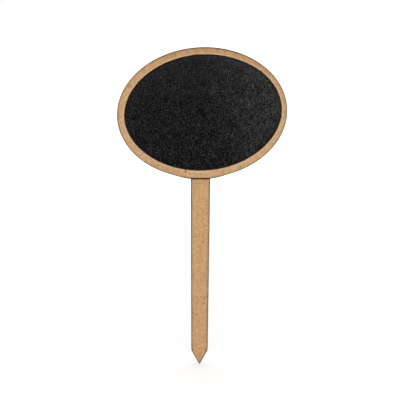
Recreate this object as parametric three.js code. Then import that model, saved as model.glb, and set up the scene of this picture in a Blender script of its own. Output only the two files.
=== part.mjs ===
import * as THREE from "three";

// A mini chalkboard sign: an oval board with a raised rim, glued to the front of a pointed stake.
// Sizes are millimetres. Every piece is a flat layer, drawn with x to the right, y up and z toward
// the reader. The finished drawing is stood upright: +Z up, the board facing -Y, the tip at z = 0.

// Head: an oval rim over an oval board of the same outline.
const overallHeight = 165.1; // tip of the stake to the top of the rim
const headWidth = 82.63; // long axis of the oval, 82.55 across once the head is turned
const headHeight = 63.34; // short axis of the oval
const headTurn = 3.9; // degrees, right end up: the head is glued on by eye
const rimEndWidth = 3.36; // mean width of the rim at the ends of the long axis
const rimSideWidth = 3.76; // mean width of the rim at the ends of the short axis
const openingShiftRight = 0.48; // the opening is cut off centre, so the rim is narrower on the right
const openingShiftUp = 0.27;
const openingTurn = 0.5; // degrees, from the head's own long axis

// Stake: a strip that narrows downward to a point.
const stakeLength = 152.4;
const stakeTopWidth = 10.4; // at the hidden upper end
const stakeShoulderWidth = 8.8; // where the point begins
const stakePointLength = 7.7;
const stakeTipWidth = 0.5; // the blunted end of the point
const stakeOffset = 0.51; // the stake's axis lies this far left of the head's middle
const topCornerEase = 0.8; // length of side taken by each rounded corner
const shoulderEase = 1.2;
const tipEase = 0.1;

// Glue under the stake: squeezed past its sides, stopping short of its ends.
const glueSqueeze = 0.7; // beyond each side of the stake
const glueEndMargin = 4; // from the stake's upper end, and from the head's lower edge
const glueCornerEase = 2.5;

// Glue under the rim stops short of the rim's edges.
const rimGlueMargin = 0.5;

// Thicknesses of the layers, from the back to the front.
const stakeThickness = 3;
const stakeGlueThickness = 0.3;
const boardThickness = 2;
const coatThickness = 0.2;
const rimGlueThickness = 0.1;
const rimThickness = 2;

const arris = 0.1; // the sanded edge of every cut fibreboard piece

const ovalSegments = 64;
const cornerSegments = 4;

// Back faces of the layers. The stack is centred on the frame's origin.
const stackThickness =
  stakeThickness + stakeGlueThickness + boardThickness + coatThickness + rimGlueThickness + rimThickness;
const stakeBack = -stackThickness / 2;
const stakeGlueBack = stakeBack + stakeThickness;
const boardBack = stakeGlueBack + stakeGlueThickness;
const coatBack = boardBack + boardThickness;
const rimGlueBack = coatBack + coatThickness;
const rimBack = rimGlueBack + rimGlueThickness;

// Half the height of the turned oval sets where its middle goes.
const turn = THREE.MathUtils.degToRad(headTurn);
const headRise = Math.hypot((headWidth / 2) * Math.sin(turn), (headHeight / 2) * Math.cos(turn));
const headMiddle = overallHeight - headRise;
const headBottom = headMiddle - headRise;

// An oval outline grown by `grow` on every side.
function addHeadOval(path, grow = 0) {
  path.absellipse(0, 0, headWidth / 2 + grow, headHeight / 2 + grow, 0, 2 * Math.PI, false, 0);
  return path;
}

// The rim's off-centre opening, grown by `grow` on every side.
function openingOval(grow = 0) {
  const halfWidth = headWidth / 2 - rimEndWidth + grow;
  const halfHeight = headHeight / 2 - rimSideWidth + grow;
  const angle = THREE.MathUtils.degToRad(openingTurn);
  const path = new THREE.Path();
  path.absellipse(openingShiftRight, openingShiftUp, halfWidth, halfHeight, 0, 2 * Math.PI, false, angle);
  return path;
}

// An oval ring: the head's outline with the opening cut out, both drawn in by `margin`.
function ringOutline(margin = 0) {
  const outline = addHeadOval(new THREE.Shape(), -margin);
  outline.holes.push(openingOval(margin));
  return outline;
}

// A closed outline through the corners, each rounded over `ease` of its two sides.
function easedOutline(corners) {
  const outline = new THREE.Shape();
  corners.forEach(({ point, ease }, index) => {
    const before = corners.at(index - 1).point;
    const after = corners[(index + 1) % corners.length].point;
    const enter = before.clone().sub(point).setLength(ease).add(point);
    const leave = after.clone().sub(point).setLength(ease).add(point);
    if (index === 0) {
      outline.moveTo(enter.x, enter.y);
    } else {
      outline.lineTo(enter.x, enter.y);
    }
    outline.quadraticCurveTo(point.x, point.y, leave.x, leave.y);
  });
  outline.closePath();
  return outline;
}

// Mirrored corners about the stake's axis, right side from the top down, then left side back up.
function symmetricOutline(rightSide) {
  const corner = (side) => ({ halfWidth, height, ease }) => ({
    point: new THREE.Vector2(side * halfWidth, height),
    ease,
  });
  return easedOutline([...rightSide.map(corner(1)), ...rightSide.map(corner(-1)).reverse()]);
}

// Half the stake's width at a height above its tip.
function stakeHalfWidth(height) {
  const share = (height - stakePointLength) / (stakeLength - stakePointLength);
  return THREE.MathUtils.lerp(stakeShoulderWidth, stakeTopWidth, share) / 2;
}

function stakeOutline() {
  return symmetricOutline([
    { halfWidth: stakeTopWidth / 2, height: stakeLength, ease: topCornerEase },
    { halfWidth: stakeShoulderWidth / 2, height: stakePointLength, ease: shoulderEase },
    { halfWidth: stakeTipWidth / 2, height: 0, ease: tipEase },
  ]);
}

function stakeGlueOutline() {
  const top = stakeLength - glueEndMargin;
  const bottom = headBottom + glueEndMargin;
  return symmetricOutline([
    { halfWidth: stakeHalfWidth(top) + glueSqueeze, height: top, ease: glueCornerEase },
    { halfWidth: stakeHalfWidth(bottom) + glueSqueeze, height: bottom, ease: glueCornerEase },
  ]);
}

// A flat layer of an outline, with its back face at `back` and both edges eased by `edge`.
function layer(name, outline, { back, thickness, edge = 0, segments, material }) {
  const geometry = new THREE.ExtrudeGeometry(outline, {
    depth: thickness - 2 * edge,
    bevelEnabled: edge > 0,
    bevelThickness: edge,
    bevelSize: edge,
    bevelOffset: -edge,
    bevelSegments: 1,
    curveSegments: segments,
  });
  const mesh = new THREE.Mesh(geometry, new THREE.MeshStandardMaterial(material));
  mesh.name = name;
  mesh.position.z = back + edge;
  return mesh;
}

const rimFrame = layer("rim_frame", ringOutline(), {
  back: rimBack,
  thickness: rimThickness,
  edge: arris,
  segments: ovalSegments,
  material: { color: "#c8a073", roughness: 0.72, metalness: 0 },
});

const rimAdhesive = layer("rim_adhesive", ringOutline(rimGlueMargin), {
  back: rimGlueBack,
  thickness: rimGlueThickness,
  segments: ovalSegments,
  material: { color: "#d8c9a4", roughness: 0.4, metalness: 0 },
});

const chalkboardCoat = layer("chalkboard_coat", addHeadOval(new THREE.Shape()), {
  back: coatBack,
  thickness: coatThickness,
  segments: ovalSegments,
  material: { color: "#212123", roughness: 0.85, metalness: 0 },
});

const backingBoard = layer("backing_board", addHeadOval(new THREE.Shape()), {
  back: boardBack,
  thickness: boardThickness,
  edge: arris,
  segments: ovalSegments,
  material: { color: "#bf976a", roughness: 0.75, metalness: 0 },
});

const stakeAdhesive = layer("stake_adhesive", stakeGlueOutline(), {
  back: stakeGlueBack,
  thickness: stakeGlueThickness,
  segments: cornerSegments,
  material: { color: "#dccfae", roughness: 0.35, metalness: 0 },
});

const stake = layer("stake", stakeOutline(), {
  back: stakeBack,
  thickness: stakeThickness,
  edge: arris,
  segments: cornerSegments,
  material: { color: "#c69d72", roughness: 0.72, metalness: 0 },
});

const head = new THREE.Group();
head.position.y = headMiddle;
head.rotation.z = turn;
head.add(rimFrame, rimAdhesive, chalkboardCoat, backingBoard);

const post = new THREE.Group();
post.position.x = -stakeOffset;
post.add(stakeAdhesive, stake);

const sign = new THREE.Group();
sign.name = "mini_chalkboard_sign";
sign.rotation.x = Math.PI / 2;
sign.add(head, post);

export default sign;
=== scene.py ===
import math

import bmesh
import bpy
from mathutils import Matrix, Vector, noise


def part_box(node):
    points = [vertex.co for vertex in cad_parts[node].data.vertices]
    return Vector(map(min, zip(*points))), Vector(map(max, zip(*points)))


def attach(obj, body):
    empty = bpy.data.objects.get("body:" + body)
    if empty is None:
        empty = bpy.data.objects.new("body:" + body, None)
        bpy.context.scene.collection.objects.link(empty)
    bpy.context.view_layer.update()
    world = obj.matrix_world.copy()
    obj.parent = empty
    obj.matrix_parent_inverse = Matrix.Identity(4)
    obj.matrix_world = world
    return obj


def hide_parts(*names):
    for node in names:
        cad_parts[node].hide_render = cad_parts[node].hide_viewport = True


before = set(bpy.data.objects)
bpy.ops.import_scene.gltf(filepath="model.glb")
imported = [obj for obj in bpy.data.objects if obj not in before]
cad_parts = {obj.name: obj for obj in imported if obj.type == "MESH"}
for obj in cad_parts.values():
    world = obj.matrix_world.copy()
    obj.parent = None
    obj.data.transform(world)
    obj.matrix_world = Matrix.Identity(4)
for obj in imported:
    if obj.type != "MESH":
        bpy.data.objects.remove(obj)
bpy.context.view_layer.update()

mm = 0.001  # meshes and patterns are worked out in millimetres, and stored in metres
farFromCut = 9  # a distance at which a cut edge no longer matters
sharpAngle = math.radians(40)  # faces that meet at more than this keep a sharp edge
fullTurn = 2 * math.pi


# Lofted meshes

def loft(name, loops, joined=False):
    # loops of (point, cut, run, opening): cut is the distance from a cut edge and -1 on a cut wall,
    # run is the length along that edge, and opening the distance from the rim's opening, -1 on its wall
    shape = bmesh.new()
    layers = [shape.verts.layers.float.new(key) for key in ("cutMm", "runMm", "openingMm")]
    rings = []
    for loop in loops:
        ring = []
        for point, *marks in loop:
            vert = shape.verts.new(point * mm)
            for layer, mark in zip(layers, marks):
                vert[layer] = mark
            ring.append(vert)
        rings.append(ring)
    follow = rings[1:] + rings[:1] if joined else rings[1:]
    for near, far in zip(rings, follow):
        count = max(len(near), len(far))
        for i in range(count):
            j = (i + 1) % count
            corners = [near[i % len(near)], near[j % len(near)], far[j % len(far)], far[i % len(far)]]
            shape.faces.new(list(dict.fromkeys(corners)))  # a loop of one point makes a fan
    if not joined:
        for ring in (rings[0], rings[-1]):
            if len(ring) > 2:
                shape.faces.new(ring)
    bmesh.ops.recalc_face_normals(shape, faces=shape.faces)
    mesh = bpy.data.meshes.new(name)
    shape.to_mesh(mesh)
    shape.free()
    mesh.shade_smooth()
    mesh.set_sharp_from_angle(angle=sharpAngle)
    piece = bpy.data.objects.new(name, mesh)
    bpy.context.scene.collection.objects.link(piece)
    return piece


def edgeProfile(thickness, arris, insets, wallRows=4, bendSteps=4):
    # (inset, depth, cut) from the back face round a cut edge to the front face
    half = []
    for step in range(bendSteps + 1):
        angle = math.pi / 2 * step / bendSteps
        half.append((arris * (1 - math.cos(angle)), arris * (1 - math.sin(angle)), step / bendSteps - 1))
    half += [(inset, 0, inset - arris) for inset in insets]
    wall = [thickness - arris - (thickness - 2 * arris) * row / wallRows for row in range(1, wallRows)]
    back = [(inset, thickness - depth, cut) for inset, depth, cut in reversed(half)]
    return back + [(0, depth, -1) for depth in wall] + half


def ripple(seed, x, y, size):
    return noise.noise(Vector((x / size, y / size, seed)))


def smooth(value, low, high):
    share = min(max((value - low) / (high - low), 0), 1)
    return share * share * (3 - 2 * share)


def present(piece, node, finish):
    piece.data.materials.append(finish)
    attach(piece, "root")
    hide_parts(node)


def layerDepth(node):
    low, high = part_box(node)
    return low.y / mm, (high.y - low.y) / mm  # front face, thickness


# The head's ovals

headPlan = {
    "turn": 3.9,  # degrees, right end up: glued on by eye
    "rimEndWidth": 3.36,  # mean rim at the ends of the long axis
    "rimSideWidth": 3.76,
    "openingShift": (0.48, 0.27),  # the opening is cut off centre
    "openingTurn": 0.5,  # degrees, from the head's own long axis
    "openingSwell": 0.0037,  # share by which it is fuller at its four ends than a true oval
    "fullCorner": (36, 30, 0.0048),  # degrees, reach and share by which its upper right is fuller
    "sag": 0.56,  # how much lower the outline hangs over the stake
    "sagReach": (5, 15),  # from the stake's axis, where it begins to fade and where it ends
    "lowEdge": 101.28,  # height at which it runs level there
    "waveLength": 5,  # of the cut's unevenness
    "steps": 300,
}

headTurn = math.radians(headPlan["turn"])
rimLow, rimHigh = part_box("rim_frame")
headMiddle = (rimLow + rimHigh) / 2 / mm
halfWide, _, halfTall = (rimHigh - rimLow) / 2 / mm
stakeAxis = sum(corner.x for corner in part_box("stake")) / 2 / mm
turnCos, turnSin = math.cos(headTurn), math.sin(headTurn)
ovalA = math.sqrt(((halfWide * turnCos) ** 2 - (halfTall * turnSin) ** 2) / math.cos(2 * headTurn))
ovalB = math.sqrt(((halfTall * turnCos) ** 2 - (halfWide * turnSin) ** 2) / math.cos(2 * headTurn))
openingA = ovalA - headPlan["rimEndWidth"]
openingB = ovalB - headPlan["rimSideWidth"]
openingTurn = math.radians(headPlan["openingTurn"])


def onHead(flat, depth):
    # a point of the head's own drawing plane, stood up in the frame
    across = flat.x * turnCos - flat.y * turnSin
    upward = flat.x * turnSin + flat.y * turnCos
    return Vector((headMiddle.x + across, depth, headMiddle.z + upward))


def headOutline(angle, seed, wander):
    outward = Vector((math.cos(angle) / ovalA, math.sin(angle) / ovalB)).normalized()
    point = Vector((ovalA * math.cos(angle), ovalB * math.sin(angle)))
    grow = -wander * (0.5 + 0.5 * ripple(seed, point.x, point.y, headPlan["waveLength"]))
    if math.sin(angle) < 0:
        near, far = headPlan["sagReach"]
        spot = onHead(point, 0)
        sag = headPlan["sag"] * smooth(abs(spot.x - stakeAxis), far, near)
        grow += min(sag, max(spot.z - headPlan["lowEdge"], 0))
    return point + outward * grow, outward


def opening(angle):
    corner, reach, fuller = headPlan["fullCorner"]
    fromCorner = abs(math.remainder(angle - math.radians(corner), fullTurn))
    swell = 1 + headPlan["openingSwell"] * math.cos(4 * angle)
    swell += fuller * smooth(fromCorner, math.radians(reach), 0)
    point = Vector((openingA * math.cos(angle), openingB * math.sin(angle))) * swell
    return Vector(headPlan["openingShift"]) + Matrix.Rotation(openingTurn, 2) @ point


def evenAngles():
    return [fullTurn * step / headPlan["steps"] for step in range(headPlan["steps"])]


def runAlong(points):
    # length of a closed outline up to each of its points
    run = [0]
    for a, b in zip(points, points[1:]):
        run.append(run[-1] + (b - a).length)
    return run


# Shader maths

class Wire:
    def __init__(self, finish, socket):
        self.finish = finish
        self.socket = socket

    def maths(self, operation, first, second):
        return self.finish.node("ShaderNodeMath", {"operation": operation}, {0: first, 1: second})

    def __add__(self, other):
        return self.maths("ADD", self, other)

    def __sub__(self, other):
        return self.maths("SUBTRACT", self, other)

    def __rsub__(self, other):
        return self.maths("SUBTRACT", other, self)

    def __mul__(self, other):
        return self.maths("MULTIPLY", self, other)

    def __abs__(self):
        return self.maths("ABSOLUTE", self, 0)

    __radd__ = __add__
    __rmul__ = __mul__

    def clamped(self):
        return self.finish.node("ShaderNodeClamp", None, {0: self})

    def rise(self, low, high):
        # 0 below low, 1 above high, smooth between them
        sockets = {"Value": self, "From Min": low, "From Max": high}
        return self.finish.node("ShaderNodeMapRange", {"interpolation_type": "SMOOTHSTEP"}, sockets)


class Finish:
    def __init__(self, owner):
        # owner is a new material, or the world
        owner.use_nodes = True
        self.owner = owner
        self.tree = owner.node_tree
        self.tree.nodes.clear()

    def node(self, kind, settings=None, sockets=None, out=0):
        made = self.tree.nodes.new(kind)
        for key, value in (settings or {}).items():
            setattr(made, key, value)
        for key, value in (sockets or {}).items():
            if isinstance(value, Wire):
                self.tree.links.new(value.socket, made.inputs[key])
            else:
                made.inputs[key].default_value = value
        return Wire(self, made.outputs[out]) if made.outputs else None

    def vector(self, operation, sockets, out="Vector"):
        return self.node("ShaderNodeVectorMath", {"operation": operation}, sockets, out)

    def place(self, shift):
        # a point of the surface in millimetres, moved so that no two pieces share a pattern
        spot = self.node("ShaderNodeTexCoord", out="Object")
        return self.vector("MULTIPLY_ADD", {0: spot, 1: (1 / mm, 1 / mm, 1 / mm), 2: shift})

    def mark(self, name):
        return self.node("ShaderNodeAttribute", {"attribute_name": name}, out="Fac")

    def noise(self, place, size, detail=2.0, roughness=0.5):
        sockets = {"Vector": place, "Scale": 1 / size, "Detail": detail, "Roughness": roughness}
        return self.node("ShaderNodeTexNoise", None, sockets)

    def fleck(self, place, angle, length, width, low, high):
        # short strands across a face, all lying at one angle, where the noise is between low and high
        turned = self.node(
            "ShaderNodeMapping",
            {"vector_type": "TEXTURE"},
            {"Vector": place, "Rotation": (0, math.radians(angle), 0), "Scale": (length, width, width)},
        )
        return self.noise(turned, size=1, detail=1.5).rise(low, high)

    def mix(self, factor, first, second, blend="MIX"):
        settings = {"data_type": "RGBA", "blend_type": blend}
        return self.node("ShaderNodeMix", settings, {0: factor, 6: first, 7: second}, 2)

    def bump(self, height, depth, strength):
        sockets = {"Height": height, "Distance": depth * mm, "Strength": strength}
        return self.node("ShaderNodeBump", None, sockets)

    def surface(self, sockets):
        shader = self.node("ShaderNodeBsdfPrincipled", None, sockets)
        self.node("ShaderNodeOutputMaterial", None, {"Surface": shader})
        return self.owner

    def seen(self):
        # 1 where the camera, a reflection or glass looks at the surface, 0 where it lights the scene
        path = self.node("ShaderNodeLightPath", out="Is Camera Ray")
        for name in ("Is Glossy Ray", "Is Transmission Ray"):
            path = path.maths("MAXIMUM", path, self.node("ShaderNodeLightPath", out=name))
        return path


def tint(red, green, blue):
    # a colour as it reads on a screen, 0 to 255
    def linear(level):
        level /= 255
        return level / 12.92 if level <= 0.04045 else ((level + 0.055) / 1.055) ** 2.4
    return linear(red), linear(green), linear(blue), 1.0


def grey(level):
    # a colour as light, 1 is white
    return level, level, level, 1.0


# Fibreboard: pressed wood fibre with brown flecks, scorched where it was cut, with painted shade toward
# the top of the rim

fibreLook = {
    "pale": tint(207, 165, 121),
    "deep": tint(186, 144, 99),
    "mottleSize": 1.6,
    "mottle": 2.3,  # share of the mottle, the clouds and the grain in its shade
    "cloudSize": 13,
    "cloud": 0.3,
    "grainSize": 0.3,
    "grain": 1.2,
    "orange": tint(209, 153, 100),  # the two ways its hue wanders
    "orangeLevel": (0.5, 0.7),
    "olive": tint(188, 158, 107),
    "oliveLevel": (0.5, 0.3),
    "darkFleck": tint(146, 102, 59),
    "darkStrands": (  # angle, length, width and the noise levels between which they show
        (14, 2.3, 0.75, 0.59, 0.74),
        (71, 2.0, 0.7, 0.6, 0.75),
        (-43, 2.4, 0.72, 0.6, 0.75),
    ),
    "paleFleck": tint(221, 181, 138),
    "paleStrands": ((33, 2.4, 0.45, 0.58, 0.72), (-68, 2.0, 0.5, 0.58, 0.72)),
    "topShade": (0.81, 0.73, 0.56, 1),  # painted shade: the colour is multiplied by this toward the top
    "topShadeShare": 0.7,
    "topShadeLean": 0.15,  # it comes lower on the right
    "dust": tint(197, 173, 146),  # the rubbed edge of the opening
    "dustShare": 0.75,
    "dustReach": (1.3, 0.3),
    "char": tint(62, 43, 26),
    "singe": tint(116, 97, 74),
    "lineSize": 0.35,  # lines down a cut wall, from char to singe
    "lineSlant": 0.2,
    "lineLevel": (0.3, 0.75),
    "scorchShare": 0.92,
    "scorchFade": (0.1, -0.12),  # from where the scorch ends to where it is full
    "scorchLoss": 0.4,  # how much weaker it is at this distance from the cut
    "scorchLossReach": (0.15, 0.5),
    "blotchSize": 2.6,
    "blotchLevel": (0.55, 0.8),
    "blotchReach": 0.4,  # millimetres that the scorch spreads in its darker places
    "smoke": tint(108, 101, 90),  # a fainter film beside the scorch
    "smokeShare": 0.5,
    "smokeReach": 1.25,
    "smokeClear": (1.2, 2.2),  # none this near the opening
    "soot": tint(24, 16, 9),  # the wall of the opening
    "sootShare": 0.85,
    "sootReach": (-0.1, -0.8),
    "ragged": 1.5,  # unevenness of the marks' edges, in widths of the mark
    "raggedSize": 0.6,
    "roughness": 0.74,
    "mottleShine": 0.1,  # how much smoother it is on the mottle and on a cut wall
    "wallShine": 0.12,
    "specular": 0.2,
    "bump": (0.05, 0.3),  # depth in millimetres, strength
    "mottleHeight": 0.5,
    "grainHeight": 0.4,
    "fleckDepth": 0.3,
}


def fibreboard(name, plan, look=fibreLook):
    f = Finish(bpy.data.materials.new(name))
    place = f.place(plan["shift"])
    cut, run, rimSide = f.mark("cutMm"), f.mark("runMm"), f.mark("openingMm")
    wall = cut.rise(0, -1)
    sanded = f.vector("MULTIPLY", {0: place, 1: plan["sanding"]})
    mottle = f.noise(sanded, look["mottleSize"], detail=3, roughness=0.6)
    cloud = f.noise(place, look["cloudSize"])
    grain = f.noise(sanded, look["grainSize"])
    shade = (mottle - 0.5) * look["mottle"] + (cloud - 0.5) * look["cloud"]
    shade = shade + (grain - 0.5) * look["grain"]
    colour = f.mix(shade * plan["contrast"] + 0.5, look["deep"], look["pale"])
    hue = f.noise(place, plan["hueSize"])
    colour = f.mix(hue.rise(*look["orangeLevel"]) * plan["hueDrift"], colour, look["orange"])
    colour = f.mix(hue.rise(*look["oliveLevel"]) * plan["hueDrift"], colour, look["olive"])
    darkFleck = sum(f.fleck(place, *strand) for strand in look["darkStrands"])
    paleFleck = sum(f.fleck(place, *strand) for strand in look["paleStrands"])
    colour = f.mix(darkFleck * plan["flecks"], colour, look["darkFleck"])
    colour = f.mix(paleFleck * plan["flecks"], colour, look["paleFleck"])
    # painted shade: the rim darkens toward its top, lower on the right
    if "topShade" in plan:
        height = f.vector("DOT_PRODUCT", {0: place, 1: (look["topShadeLean"], 0, 1)}, "Value")
        colour = f.mix(height.rise(*plan["topShade"]) * look["topShadeShare"], colour, look["topShade"], "MULTIPLY")
    colour = f.mix(rimSide.rise(*look["dustReach"]) * look["dustShare"], colour, look["dust"])
    smoke = cut.rise(look["smokeReach"], 0) * rimSide.rise(*look["smokeClear"])
    colour = f.mix(smoke * look["smokeShare"], colour, look["smoke"])
    # scorch: a thin even line along the cut, spreading into blotches here and there
    blotch = f.noise(place, look["blotchSize"]).rise(*look["blotchLevel"])
    scorch = (cut - blotch * look["blotchReach"] - plan["scorch"]).rise(*look["scorchFade"])
    downWall = f.node("ShaderNodeCombineXYZ", None, {0: run, 1: cut * look["lineSlant"]})
    lines = f.noise(downWall, look["lineSize"])
    burnt = f.mix(lines.rise(*look["lineLevel"]), look["char"], look["singe"])
    strength = look["scorchShare"] - look["scorchLoss"] * cut.rise(*look["scorchLossReach"])
    colour = f.mix(scorch * strength, colour, burnt)
    colour = f.mix(rimSide.rise(*look["sootReach"]) * look["sootShare"], colour, look["soot"])
    ragged = (f.noise(place, look["raggedSize"], detail=3, roughness=0.6) - 0.5) * look["ragged"]
    for mark in plan.get("marks", ()):
        colour = f.mix(scratch(f, place, plan["shift"], mark, ragged), colour, mark["colour"])
    relief = mottle * look["mottleHeight"] + grain * look["grainHeight"]
    relief = relief - darkFleck * look["fleckDepth"] + lines * wall
    return f.surface({
        "Base Color": colour,
        "Roughness": look["roughness"] - look["mottleShine"] * mottle - look["wallShine"] * wall,
        "Specular IOR Level": look["specular"],
        "Normal": f.bump(relief, *look["bump"]),
    })


def stroke(start, end, width, strength, colour, core=0.3):
    # a straight mark on a front face, from start to end in millimetres of the frame (x, z),
    # at full strength over the core, a share of its width, and fading beyond
    return dict(start=start, end=end, width=width, core=core, strength=strength, colour=tint(*colour))


frontFacing = (-0.3, -0.7)  # the normal's y at which marks begin to show, and at which they show fully


def scratch(f, place, shift, mark, ragged):
    first = Vector((mark["start"][0] + shift[0], 0, mark["start"][1] + shift[2]))
    along = Vector((mark["end"][0] - mark["start"][0], 0, mark["end"][1] - mark["start"][1]))
    flat = f.vector("MULTIPLY", {0: place, 1: (1, 0, 1)})
    away = f.vector("SUBTRACT", {0: flat, 1: first})
    share = f.vector("DOT_PRODUCT", {0: away, 1: along}, "Value") * (1 / along.length_squared)
    nearest = f.vector("SCALE", {0: along, "Scale": share.clamped()})
    distance = f.vector("DISTANCE", {0: away, 1: nearest}, "Value") + ragged * mark["width"]
    facing = f.node("ShaderNodeTexCoord", out="Normal")
    front = f.node("ShaderNodeSeparateXYZ", None, {0: facing}, "Y").rise(*frontFacing)
    return distance.rise(mark["width"], mark["core"] * mark["width"]) * mark["strength"] * front


# Rim: the oval ring, with the slit where its opening was started, small marks, painted shade toward its
# top and a painted shadow along its lower edge over the stake

rim = {
    "arris": 0.16,
    "insets": (0.32, 0.55, 0.9),
    "wander": 0.05,  # unevenness of the cut
    "seed": 3,
    "openingSeed": 8,
    "slitAngle": -105.6,  # degrees round the opening
    "slitWidth": 0.32,
    "slitLength": 1.1,
    "slitSteps": 4,
    "slitSpan": 12,  # degrees over which the rows across the rim turn to run along it
    "openingClear": 0.12,  # the scorch keeps more to the edge beside the opening
    "scorch": 0.16,  # millimetres in from the rounded edge of the cut
    "shift": (0, 0, 0),  # moves the pattern
    "sanding": (1, 1, 1),  # the grain along x, y and z, finer above 1
    "contrast": 2.0,
    "flecks": 0.6,
    "hueSize": 2.2,
    "hueDrift": 0.9,
    "topShade": (132, 168),  # painted shade: it turns darker and browner between these heights
    "marks": (
        stroke((-7.96, 105.9), (-7.96, 104.7), 0.34, 0.8, (108, 74, 42)),  # burn below the slit
        stroke((-7.4, 105.4), (-6.4, 102.6), 0.28, 0.5, (222, 190, 150)),  # a pale scratch beside it
        stroke((-28.2, 114.5), (-30.6, 112.3), 0.26, 0.6, (132, 92, 54)),  # a crack
        stroke((-28.0, 114.0), (-30.2, 111.9), 0.3, 0.35, (222, 190, 150)),  # its pale side
        stroke((-21.6, 108.1), (-21.2, 108.0), 0.5, 0.6, (140, 88, 44)),  # specks on the left
        stroke((-19.4, 107.2), (-19.2, 107.2), 0.4, 0.4, (150, 100, 54)),
        stroke((10.6, 104.7), (10.8, 104.6), 0.42, 0.6, (136, 88, 46)),  # specks on the right
        stroke((13.0, 106.0), (13.2, 105.9), 0.42, 0.5, (150, 96, 50)),
        stroke((11.8, 106.1), (14.4, 105.9), 1.2, 0.35, (216, 158, 104)),  # an orange stain there
        stroke((-5.8, 105.0), (3.2, 104.7), 0.7, 0.35, (212, 192, 164)),  # dust above the stake
        stroke((-4.8, 102.4), (3.8, 102.5), 0.9, 0.7, (196, 156, 112)),  # wiped clean above the stake
        stroke((-10.2, 102.5), (-5.6, 101.65), 0.8, 0.45, (112, 96, 76)),  # darker and greyer along the lower edge on both sides of it
        stroke((4.6, 101.75), (8.6, 102.65), 0.8, 0.45, (112, 96, 76)),
        stroke((-5.2, 101.46), (4.2, 101.56), 1.0, 0.2, (104, 70, 20), 0),  # the burnt lower edge there; this and the next darken it further as painted shadow over the stake
        stroke((-5.2, 101.37), (4.2, 101.45), 0.44, 1.0, (30, 6, 0), 0.95),
    ),
}


def rimAngles(slit, half):
    # even steps, with close ones across the slit
    steps = rim["slitSteps"]
    close = [slit + half * step / steps for step in range(-steps - 1, steps + 2)]
    return sorted([angle for angle in evenAngles() if abs(angle - slit) > 2 * half] + close)


def buildRim():
    front, thickness = layerDepth("rim_frame")
    slit = math.radians(rim["slitAngle"]) % fullTurn
    half = rim["slitWidth"] / 2 / ovalA
    angles = rimAngles(slit, half)
    # beside the slit the rows across the rim lean over, to run straight down as it does
    foot = opening(slit).x - turnSin * headPlan["rimSideWidth"]
    lean = fullTurn - math.acos(foot / ovalA) - slit
    span = math.radians(rim["slitSpan"])
    leaning = [angle + lean * smooth(abs(angle - slit), span, 2 * half) for angle in angles]
    outer = [headOutline(angle, rim["seed"], rim["wander"])[0] for angle in leaning]
    straightDown = Vector((-turnSin, -turnCos))
    inner = []
    for angle, edge in zip(angles, outer):
        point = opening(angle)
        toRim = (edge - point).normalized()
        bite = max(0, 1 - ((angle - slit) / half) ** 2) * rim["slitLength"]
        wave = ripple(rim["openingSeed"], point.x, point.y, headPlan["waveLength"])
        inner.append(point + toRim * (rim["wander"] * 0.5 * wave) + straightDown * bite)
    run = runAlong(outer)
    profile = edgeProfile(thickness, rim["arris"], rim["insets"])

    def side(start, far, inset, depth, cut, fromOpening):
        loop = []
        for a, b, length in zip(start, far, run):
            width = (b - a).length
            point = onHead(a + (b - a) * (inset / width), front + depth)
            away = inset if fromOpening else width - inset
            loop.append((point, cut, length, -1 if fromOpening and cut <= -1 else away))
        return loop

    def middle(depth):
        return [
            (onHead((a + b) / 2, front + depth), (b - a).length / 2, length, (b - a).length / 2)
            for a, b, length in zip(outer, inner, run)
        ]

    loops = [side(outer, inner, *step, False) for step in profile]
    loops.append(middle(0))
    for inset, depth, cut in reversed(profile):
        clear = cut if cut < 0 else cut + rim["openingClear"]
        loops.append(side(inner, outer, inset, depth, clear, True))
    loops.append(middle(thickness))
    return loft("rim", loops, joined=True)


# Backing board and its chalkboard coat: whole ovals under the rim

board = {
    "arris": 0.16,
    "insets": (0.4, 0.9, 2),
    "wander": 0.06,
    "seed": 17,
    "backShares": (0.9, 0.75, 0.55, 0.3),  # loops of the flat back, as shares of the oval
    "frontShares": (0.5,),
    "scorch": 0.2,
    "shift": (37, 5, 61),
    "sanding": (1.35, 1, 0.85),
    "contrast": 1.15,
    "flecks": 0.42,
    "hueSize": 5,
    "hueDrift": 0.18,
}

coatRings = 34
coat = {
    "arris": 0.04,
    "insets": (0.5,),
    "wander": 0.05,
    "seed": 29,
    "backShares": (0.5,),
    "frontShares": [1 - ring / coatRings for ring in range(1, coatRings)],
    "relief": 0.014,  # depth of the brushed paint's unevenness
    "reliefSize": 2.2,
    "reliefReach": (0.92, 0.87),  # share of the oval where it begins, under the rim, and is full
}


def frontDip(plan, flat, share):
    if "relief" not in plan:
        return 0
    uneven = 0.5 + 0.5 * ripple(plan["seed"], flat.x, flat.y, plan["reliefSize"])
    return plan["relief"] * smooth(share, *plan["reliefReach"]) * uneven


def ovalLoops(plan, front, thickness):
    outline = [headOutline(angle, plan["seed"], plan["wander"]) for angle in evenAngles()]
    run = runAlong([point for point, _ in outline])

    def edge(inset, depth, cut):
        return [
            (onHead(point - outward * inset, front + depth), cut, length, farFromCut)
            for (point, outward), length in zip(outline, run)
        ]

    def inside(share, depth):
        loop = []
        for (point, _), length in zip(outline, run):
            flat = point * share
            dip = frontDip(plan, flat, share) if depth == 0 else 0
            loop.append((onHead(flat, front + depth + dip), farFromCut, length, farFromCut))
        return loop

    def centre(depth):
        return [(onHead(Vector((0, 0)), front + depth), farFromCut, 0, farFromCut)]

    loops = [centre(thickness)]
    loops += [inside(share, thickness) for share in reversed(plan["backShares"])]
    loops += [edge(*step) for step in edgeProfile(thickness, plan["arris"], plan["insets"])]
    loops += [inside(share, 0) for share in plan["frontShares"]]
    loops.append(centre(0))
    return loops


def buildBoard():
    return loft("board", ovalLoops(board, *layerDepth("backing_board")))


def buildCoat():
    return loft("chalkCoat", ovalLoops(coat, *layerDepth("chalkboard_coat")))


# Stake: a tapered strip with a point

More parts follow.
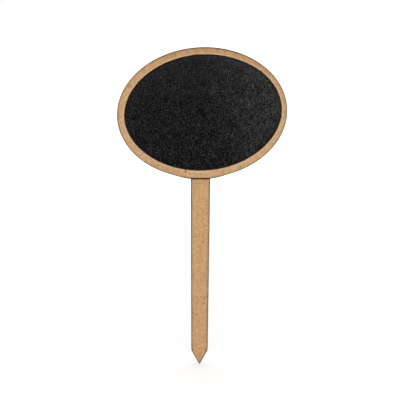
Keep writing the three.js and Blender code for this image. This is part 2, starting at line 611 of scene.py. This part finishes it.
stake = {
    "shoulderHeight": 7.7,
    "shoulderWidth": 8.7,
    "tipWidth": 0.5,
    "tipBlunt": 0.096,
    "softness": 0.12,  # rounding of the shoulders
    "arris": 0.16,
    "insets": (0.32, 0.6, 1.1),
    "fullReach": 1.4,  # half width below which the edge's steps close up
    "leastReach": 0.1,
    "wander": 0.05,
    "waveLength": 4,
    "seed": 41,
    "tipRows": (0.35, 0.7),  # heights of the rows of points: close ones at the tip, then even ones
    "firstRow": 1.2,
    "closeStep": 0.4,
    "closeBelow": 10.2,
    "rowStep": 1.6,
    "endSteps": 3,
    "scorch": 0.25,
    "shift": (83, 11, 24),
    "sanding": (1.35, 1, 0.85),
    "contrast": 1.15,
    "flecks": 0.42,
    "hueSize": 5,
    "hueDrift": 0.1,
    "marks": (
        stroke((-4.6, 28.4), (-3.7, 28.9), 0.8, 0.55, (130, 88, 46)),  # a rubbed place low on the left
        stroke((-4.6, 30.9), (-3.2, 30.6), 0.4, 0.4, (146, 102, 58)),
        stroke((-2.6, 27.6), (-1.6, 27.9), 0.55, 0.45, (146, 102, 58)),
        stroke((-4.0, 26.6), (-3.0, 26.6), 0.4, 0.35, (150, 106, 62)),
        stroke((-0.6, 28.9), (1.6, 28.8), 0.35, 0.3, (150, 106, 62)),  # a dark and a pale line beside it
        stroke((-1.2, 29.8), (1.4, 29.7), 0.35, 0.35, (216, 180, 138)),
        stroke((-3.4, 70.4), (-3.0, 70.1), 0.6, 0.5, (150, 104, 58)),  # a speck
        stroke((4.0, 36.0), (3.7, 23.0), 0.9, 0.35, (128, 90, 52)),  # darker along the right edge
        stroke((4.2, 94.0), (3.6, 10.0), 1.6, 0.2, (150, 112, 72)),
        stroke((-0.51, 0.0), (-0.51, 1.0), 2.0, 0.5, (120, 106, 86)),  # a soiled tip
        stroke((-5.0, 97.9), (4.0, 98.0), 0.4, 0.35, (160, 116, 78)),  # a faint line under the head
        stroke((-6.0, 100.9), (5.0, 101.1), 3.4, 0.22, (160, 112, 72)),  # painted shadow under the head: a broad faint band, and a dark one at its top
        stroke((-6.0, 100.84), (5.0, 101.2), 1.4, 1.0, (104, 58, 0)),
        stroke((2.4, 8.8), (2.7, 6.4), 0.65, 0.55, (118, 84, 50), 0),  # a scuff at the right shoulder
        stroke((-0.3, 9.0), (-0.1, 4.0), 1.5, 0.45, (190, 128, 78)),  # a warmer patch in the point
    ),
}


def stakeHalfWidth(height):
    low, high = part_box("stake")
    topHeight, topWidth = high.z / mm, (high.x - low.x) / mm
    share = (height - stake["shoulderHeight"]) / (topHeight - stake["shoulderHeight"])
    strip = (stake["shoulderWidth"] + (topWidth - stake["shoulderWidth"]) * share) / 2
    slope = (stake["shoulderWidth"] - stake["tipWidth"]) / 2 / stake["shoulderHeight"]
    point = stake["tipWidth"] / 2 + slope * height
    gap = strip - point
    return (strip + point - math.sqrt(gap * gap + 4 * stake["softness"] ** 2)) / 2


def stakeRows(top):
    # (height, how far the section is drawn in)
    blunt, arris, steps = stake["tipBlunt"], stake["arris"], stake["endSteps"]
    rows = [(0.0, blunt), (blunt, 0.0)] + [(height, 0.0) for height in stake["tipRows"]]
    height = stake["firstRow"]
    while height < top - 2 * arris:
        rows.append((height, 0.0))
        height += stake["closeStep"] if height < stake["closeBelow"] else stake["rowStep"]
    for step in range(steps + 1):
        angle = math.pi / 2 * step / steps
        rows.append((top - arris * (1 - math.sin(angle)), arris * (1 - math.cos(angle))))
    return rows


def buildStake():
    front, thickness = layerDepth("stake")
    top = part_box("stake")[1].z / mm
    profile = edgeProfile(thickness, stake["arris"], stake["insets"])

    def section(height, drawn):
        half = stakeHalfWidth(height)
        reach = max(half - drawn, stake["leastReach"])
        fit = min(1, reach / stake["fullReach"])
        endCut = min(height, top - height) - stake["arris"]

        def spot(side, inset, depth, cut):
            uneven = stake["wander"] * 0.5 * ripple(stake["seed"] + side, height, 0, stake["waveLength"])
            across = side * (reach - inset * fit + min(uneven, 0))
            depth = min(max(depth, drawn), thickness - drawn)
            nearCut = min(cut * fit if cut > 0 else cut, endCut)
            return Vector((stakeAxis + across, front + depth, height)), nearCut, height, farFromCut

        def middle(depth):
            return Vector((stakeAxis, front + depth, height)), min(half, endCut), height, farFromCut

        left = [spot(-1, *step) for step in profile]
        right = [spot(1, *step) for step in reversed(profile)]
        return left + [middle(drawn)] + right + [middle(thickness - drawn)]

    return loft("stakeStrip", [section(*row) for row in stakeRows(top)])


# Dried glue: squeezed out in a bead along both sides of the stake

bead = {
    "spread": 0.95,  # from the stake's side, at the widest
    "rise": 1.0,  # up the stake's side
    "swell": 0.62,  # mean size, and how much it swells in long and short waves
    "longWave": (0.3, 7, 60),  # share, length and seed
    "shortWave": (0.2, 2.4, 70),
    "leastSwell": 0.15,
    "taper": 0.4,  # how it thins out toward its ends
    "endShare": 0.04,
    "steps": 70,
    "curve": 5,
    "lap": 0.3,  # how far the film is drawn under the stake
    "clear": 0.01,
}


def beadSwell(height, side):
    swell = bead["swell"]
    for share, length, seed in (bead["longWave"], bead["shortWave"]):
        swell += share * ripple(seed + side, height, 0, length)
    return max(bead["leastSwell"], swell)


def buildBead():
    low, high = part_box("stake_adhesive")
    boardBack, underStake = low.y / mm, high.y / mm - bead["clear"]
    bottom, top = low.z / mm, high.z / mm
    loops = []
    for row in range(bead["steps"] + 1):
        share = row / bead["steps"]
        height = bottom + (top - bottom) * share
        half = stakeHalfWidth(height) + bead["clear"]
        fromEnd = bead["endShare"] + (1 - 2 * bead["endShare"]) * share
        taper = math.sin(math.pi * fromEnd) ** bead["taper"]
        loop = []
        for side in (-1, 1):
            swell = beadSwell(height, side) * taper
            curve = []
            for step in range(bead["curve"] + 1):
                angle = math.pi / 2 * step / bead["curve"]
                out = half + bead["spread"] * swell * math.cos(angle)
                lift = bead["rise"] * swell * math.sin(angle)
                curve.append(Vector((stakeAxis + side * out, boardBack + lift, height)))
            for inward in (0, bead["lap"]):  # round the stake's corner
                curve.append(Vector((stakeAxis + side * (half - inward), underStake, height)))
            loop += curve if side < 0 else reversed(curve)
        loops.append([(point, farFromCut, height, farFromCut) for point in loop])
    return loft("glueBead", loops)


# Chalkboard paint: matt black with a fine tooth, a little chalk left in it near the rim, and painted
# sheen toward the right end and the top

paintLook = {
    "shift": (3.1, 7.7, 1.9),
    "black": tint(0, 0, 0),
    "grain": tint(68, 68, 68),
    "level": (0.445, 0.76),  # share of the tooth that holds chalk
    "toothSize": 0.46,
    "brushed": (1.2, 1, 0.6),  # the tooth along x, y and z, finer above 1
    "streaked": (1.1, 1, 0.15),
    "streak": 0.3,  # share of the brush's streaks, and of patches and clouds
    "patchSize": 1.6,
    "patch": 0.14,
    "cloudSize": 6,
    "cloud": 0.1,
    "sheenGrain": tint(80, 80, 80),  # painted sheen: the tooth turns this light toward the right end
    "haze": (-4, 34),  # from the middle, where it begins and where it is full
    "hazeLean": 0.2,
    "hazeDrift": 16,
    "hazeFill": 0.045,  # how much more of the tooth the painted sheen lightens there
    # painted sheen: lighter toward the top of the opening
    "topSheen": tint(43, 44, 43),
    "topSheenShare": 0.18,
    "topSheenZone": (0, 0.9),  # zones are shares of the opening, 1 at the rim
    "edgeDust": tint(90, 91, 92),  # chalk that a sponge leaves near the rim, none at the bottom
    "edgeDustShare": 0.04,
    "edgeDustZone": (0.85, 0.97),
    "edgeDustHeight": (-0.6, 0.3),
    "rimStain": tint(94, 60, 10),  # brown fibre rubbed into the tooth along the rim
    "rimStainShare": 0.6,
    "rimStainZone": (0.97, 1),
    "endDustAndLight": tint(98, 79, 48),  # loose dust caught at the two ends, also painted light against the rim's shadow there
    "endDustAndLightShare": 0.13,
    "endDustAndLightZone": (0.973, 0.995),
    "endZone": (0.8, 1),
    "roughness": 0.38,
    "toothRoughness": 0.15,
    "specular": 0.02,
    "bump": (0.02, 0.2),
}


def chalkPaint(name, look=paintLook):
    f = Finish(bpy.data.materials.new(name))
    shift = Vector(look["shift"])
    place = f.place(shift)
    brushed = f.vector("MULTIPLY", {0: place, 1: look["brushed"]})
    streaked = f.vector("MULTIPLY", {0: place, 1: look["streaked"]})
    tooth = f.noise(brushed, look["toothSize"], detail=3.5, roughness=0.6)
    streak = f.noise(streaked, look["toothSize"], detail=1)
    patch = f.noise(brushed, look["patchSize"])
    cloud = f.noise(place, look["cloudSize"], detail=3)
    # the place as a share of the opening, from its middle
    middle = onHead(Vector(headPlan["openingShift"]), 0) + shift
    anyDepth = 1e4
    sockets = {
        "Vector": place,
        "Location": middle,
        "Rotation": (0, -headTurn - openingTurn, 0),
        "Scale": (openingA, anyDepth, openingB),
    }
    share = f.node("ShaderNodeMapping", {"vector_type": "TEXTURE"}, sockets)
    toRim = f.vector("LENGTH", {0: share}, "Value")
    sideways = f.node("ShaderNodeSeparateXYZ", None, {0: share}, "X")
    height = f.node("ShaderNodeSeparateXYZ", None, {0: share}, "Z")
    # the tooth, lighter toward the right end as painted sheen
    slope = Vector((1, 0, look["hazeLean"]))
    across = f.vector("DOT_PRODUCT", {0: place, 1: slope}, "Value") - slope.dot(middle)
    # dust is the share of the painted sheen, rising toward the right end
    dust = (across + (cloud - 0.5) * look["hazeDrift"]).rise(*look["haze"])
    shade = tooth + (streak - 0.5) * look["streak"] + (patch - 0.5) * look["patch"]
    shade = shade + (cloud - 0.5) * look["cloud"] + dust * look["hazeFill"]
    shade = shade.rise(*look["level"])
    colour = f.mix(shade, look["black"], f.mix(dust, look["grain"], look["sheenGrain"]))
    # painted sheen, dust and stains by their place in the opening
    colour = f.mix(height.rise(*look["topSheenZone"]) * look["topSheenShare"], colour, look["topSheen"])
    edgeDust = toRim.rise(*look["edgeDustZone"]) * height.rise(*look["edgeDustHeight"]) * (1 + dust)
    colour = f.mix(edgeDust * look["edgeDustShare"], colour, look["edgeDust"])
    stained = f.mix(shade, look["black"], look["rimStain"])
    colour = f.mix(toRim.rise(*look["rimStainZone"]) * look["rimStainShare"], colour, stained)
    atEnds = toRim.rise(*look["endDustAndLightZone"]) * abs(sideways).rise(*look["endZone"])
    colour = f.mix(atEnds * look["endDustAndLightShare"], colour, look["endDustAndLight"])
    return f.surface({
        "Base Color": colour,
        "Roughness": look["roughness"] + look["toothRoughness"] * tooth,
        "Specular IOR Level": look["specular"],
        "Normal": f.bump(tooth, *look["bump"]),
    })


# Dried glue: semi-clear, amber, with bubbles

glueLook = {
    "shift": (11.3, 2.2, 5.1),
    "amber": tint(206, 172, 112),
    "milky": tint(232, 216, 178),
    "cloudSize": 2.4,
    "cloudLevel": (0.35, 0.65),
    "bubbleSize": 0.5,
    "bubbleLevel": (0.6, 0.75),
    "roughness": 0.24,
    "bubbleRoughness": 0.25,
    "coat": 0.4,
    "bump": (0.1, 0.4),
    "cloudHeight": 0.8,
    "bubbleHeight": 0.3,
}


def driedGlue(name, look=glueLook):
    f = Finish(bpy.data.materials.new(name))
    place = f.place(look["shift"])
    cloud = f.noise(place, look["cloudSize"], detail=3)
    bubbles = f.noise(place, look["bubbleSize"], detail=1).rise(*look["bubbleLevel"])
    relief = cloud * look["cloudHeight"] + bubbles * look["bubbleHeight"]
    return f.surface({
        "Base Color": f.mix(cloud.rise(*look["cloudLevel"]), look["amber"], look["milky"]),
        "Roughness": look["roughness"] + look["bubbleRoughness"] * bubbles,
        "Coat Weight": look["coat"],
        "Normal": f.bump(relief, *look["bump"]),
    })


present(buildRim(), "rim_frame", fibreboard("rimFibreboard", rim))
present(buildBoard(), "backing_board", fibreboard("boardFibreboard", board))
present(buildStake(), "stake", fibreboard("stakeFibreboard", stake))
print("fibreboard pieces made")

present(buildCoat(), "chalkboard_coat", chalkPaint("chalkPaint"))
glue = driedGlue("driedGlue")
present(buildBead(), "stake_adhesive", glue)
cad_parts["rim_adhesive"].data.materials.clear()
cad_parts["rim_adhesive"].data.materials.append(glue)
print("paint and glue made")


# Stage: a pale floor that reads white, keeping the sign's shadow

stage = {
    "floorRadius": 8.0,
    "floorSides": 96,
    "floorColour": grey(0.6),
    "glowNear": 0.59,  # added where the floor is looked at, beside the sign
    "glowFar": 1.0,
    "glowReach": (0.1, 0.6),
    "frontFill": 0.12,  # the room's light from in front of the sign and from behind it
    "backFill": 1.1,
    "fillReach": (-0.2, 0.5),
}


def buildFloor():
    shape = bmesh.new()
    size = {"radius": stage["floorRadius"], "segments": stage["floorSides"]}
    bmesh.ops.create_circle(shape, cap_ends=True, **size)
    mesh = bpy.data.meshes.new("floor")
    shape.to_mesh(mesh)
    shape.free()
    floor = bpy.data.objects.new("floor", mesh)
    bpy.context.scene.collection.objects.link(floor)
    f = Finish(bpy.data.materials.new("paleFloor"))
    spot = f.node("ShaderNodeTexCoord", out="Object")
    away = f.vector("LENGTH", {0: spot}, "Value").rise(*stage["glowReach"])
    glow = f.mix(away, grey(stage["glowNear"]), grey(stage["glowFar"]))
    lit = f.node("ShaderNodeEmission", None, {"Color": f.mix(f.seen(), grey(0), glow), "Strength": 1})
    matt = f.node("ShaderNodeBsdfDiffuse", None, {"Color": stage["floorColour"]})
    both = f.node("ShaderNodeAddShader", None, {0: lit, 1: matt})
    f.node("ShaderNodeOutputMaterial", None, {"Surface": both})
    mesh.materials.append(f.owner)


def buildWorld():
    world = bpy.data.worlds.new("studio")
    bpy.context.scene.world = world
    f = Finish(world)
    facing = f.node("ShaderNodeTexCoord", out="Generated")
    behind = f.node("ShaderNodeSeparateXYZ", None, {0: facing}, "Y").rise(*stage["fillReach"])
    fill = f.mix(behind, grey(stage["frontFill"]), grey(stage["backFill"]))
    colour = f.mix(f.seen(), fill, grey(1))
    light = f.node("ShaderNodeBackground", None, {"Color": colour, "Strength": 1})
    f.node("ShaderNodeOutputWorld", None, {"Surface": light})


# Two strip softboxes in front, one to each side, aimed at the sign's middle
lampAim = Vector((0, 0, 0.09))
lamps = {
    "leftBox": {"azimuth": -18, "elevation": 14, "distance": 3.2, "size": (1.2, 0.2), "power": 44.8},
    "rightBox": {"azimuth": 18, "elevation": 14, "distance": 3.2, "size": (1.2, 0.2), "power": 35.2},
}


def buildLamps():
    for name, lamp in lamps.items():
        data = bpy.data.lights.new(name, "AREA")
        data.shape = "RECTANGLE"
        data.size, data.size_y = lamp["size"]
        data.energy = lamp["power"]
        light = bpy.data.objects.new(name, data)
        azimuth, elevation = math.radians(lamp["azimuth"]), math.radians(lamp["elevation"])
        level = math.cos(elevation)
        toward = Vector((math.sin(azimuth) * level, -math.cos(azimuth) * level, math.sin(elevation)))
        light.location = lampAim + toward * lamp["distance"]
        light.rotation_euler = toward.to_track_quat("Z", "Y").to_euler()
        bpy.context.scene.collection.objects.link(light)


camera = {
    "at": (-0.00072, -0.36189, 0.17627),
    "pitch": 13.451,  # degrees, looking down
    "roll": 0.353,
    "angle": 30.248,
    "clipStart": 0.01,
}


def buildCamera():
    data = bpy.data.cameras.new("camera")
    data.angle = math.radians(camera["angle"])
    data.clip_start = camera["clipStart"]
    eye = bpy.data.objects.new("camera", data)
    tilt = Matrix.Rotation(math.radians(90 - camera["pitch"]), 4, "X")
    roll = Matrix.Rotation(math.radians(camera["roll"]), 4, "Z")
    eye.matrix_world = Matrix.Translation(camera["at"]) @ tilt @ roll
    bpy.context.scene.collection.objects.link(eye)
    bpy.context.scene.camera = eye


buildFloor()
buildWorld()
buildLamps()
buildCamera()
bpy.context.scene.view_settings.view_transform = "Standard"
print("stage, lamps and camera made")
